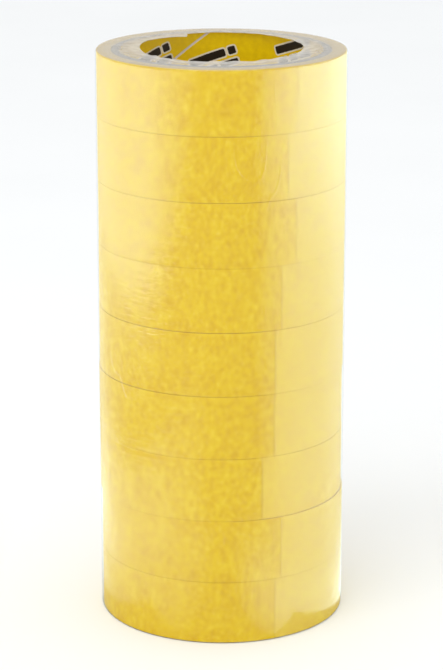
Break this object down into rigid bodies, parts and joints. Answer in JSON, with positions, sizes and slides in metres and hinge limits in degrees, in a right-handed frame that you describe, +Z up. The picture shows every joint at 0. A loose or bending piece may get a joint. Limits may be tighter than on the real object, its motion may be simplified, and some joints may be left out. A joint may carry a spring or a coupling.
{
  "type": "masking tape roll tower",
  "caption": "Upright tower of yellow crepe masking tape rolls on cardboard cores, held in a clear shrink-film sleeve with an open mouth at each end.",
  "frame": {"origin": "centre of the base, on the surface the tower stands on, on the common axis of the rolls", "axes": "+Z up along the rolls' axis, +X to the right and +Y to the back of the side that shows the tape ends"},
  "size_m": [0.0946, 0.0946, 0.2182],
  "materials": {
    "crepe_paper_tape": "crepe paper, satin, seen through clear film",
    "cardboard": "grey-brown spiral-wound board, matte",
    "printed_ply": "yellow printed paper with small black marks, satin",
    "shrink_film": "clear, thin, glossy shrink film"
  },
  "bodies": {
    "roll_1": {"roll_1_core": "cardboard", "roll_1_liner": "printed_ply", "roll_1_tape": "crepe_paper_tape", "film_foot": "shrink_film"},
    "roll_2": {"roll_2_core": "cardboard", "roll_2_liner": "printed_ply", "roll_2_tape": "crepe_paper_tape"},
    "roll_3": {"roll_3_core": "cardboard", "roll_3_liner": "printed_ply", "roll_3_tape": "crepe_paper_tape"},
    "roll_4": {"roll_4_core": "cardboard", "roll_4_liner": "printed_ply", "roll_4_tape": "crepe_paper_tape"},
    "roll_5": {"roll_5_core": "cardboard", "roll_5_liner": "printed_ply", "roll_5_tape": "crepe_paper_tape"},
    "roll_6": {"roll_6_core": "cardboard", "roll_6_liner": "printed_ply", "roll_6_tape": "crepe_paper_tape"},
    "roll_7": {"roll_7_core": "cardboard", "roll_7_liner": "printed_ply", "roll_7_tape": "crepe_paper_tape"},
    "roll_8": {"roll_8_core": "cardboard", "roll_8_liner": "printed_ply", "roll_8_tape": "crepe_paper_tape"},
    "roll_9": {"roll_9_core": "cardboard", "roll_9_liner": "printed_ply", "roll_9_tape": "crepe_paper_tape"},
    "film": {"film_sleeve": "shrink_film"}
  },
  "joints": [
    {"name": "roll_2_lift", "type": "slide", "parent": "roll_1", "child": "roll_2", "axis": [0, 0, 1], "range_m": [0, 0.03]},
    {"name": "roll_3_lift", "type": "slide", "parent": "roll_2", "child": "roll_3", "axis": [0, 0, 1], "range_m": [0, 0.03]},
    {"name": "roll_4_lift", "type": "slide", "parent": "roll_3", "child": "roll_4", "axis": [0, 0, 1], "range_m": [0, 0.03]},
    {"name": "roll_5_lift", "type": "slide", "parent": "roll_4", "child": "roll_5", "axis": [0, 0, 1], "range_m": [0, 0.03]},
    {"name": "roll_6_lift", "type": "slide", "parent": "roll_5", "child": "roll_6", "axis": [0, 0, 1], "range_m": [0, 0.03]},
    {"name": "roll_7_lift", "type": "slide", "parent": "roll_6", "child": "roll_7", "axis": [0, 0, 1], "range_m": [0, 0.03]},
    {"name": "roll_8_lift", "type": "slide", "parent": "roll_7", "child": "roll_8", "axis": [0, 0, 1], "range_m": [0, 0.03]},
    {"name": "roll_9_lift", "type": "slide", "parent": "roll_8", "child": "roll_9", "axis": [0, 0, 1], "range_m": [0, 0.03]},
    {"name": "film_lift", "type": "slide", "parent": "roll_9", "child": "film", "axis": [0, 0, 1], "range_m": [0, 0.22]}
  ]
}
